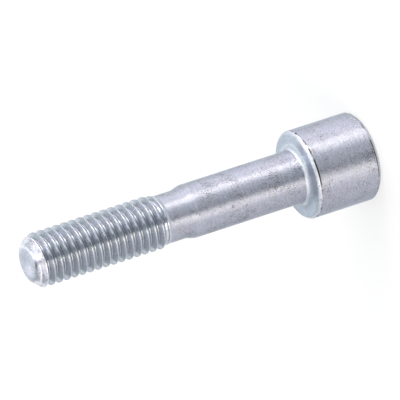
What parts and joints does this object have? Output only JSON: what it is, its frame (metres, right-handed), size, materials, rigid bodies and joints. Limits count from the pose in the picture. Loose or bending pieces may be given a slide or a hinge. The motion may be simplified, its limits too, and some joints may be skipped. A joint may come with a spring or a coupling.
{
  "type": "socket head bolt",
  "caption": "Cylinder-head bolt with a hexagon socket, a plain shank, a narrower waist and a rolled screw thread that ends in a coned tip.",
  "frame": {"origin": "centre of the head's outer face, on which the bolt stands", "axes": "+Z along the bolt's axis, from the head to the tip; +X through two opposite corners of the hexagon socket"},
  "size_m": [0.013, 0.013, 0.0539],
  "materials": {
    "zinc_plated_steel": "bright bluish zinc plating, satin, with fine dark pits and a few brown stains"
  },
  "bodies": {
    "root": {"bolt": "zinc_plated_steel"}
  },
  "joints": []
}
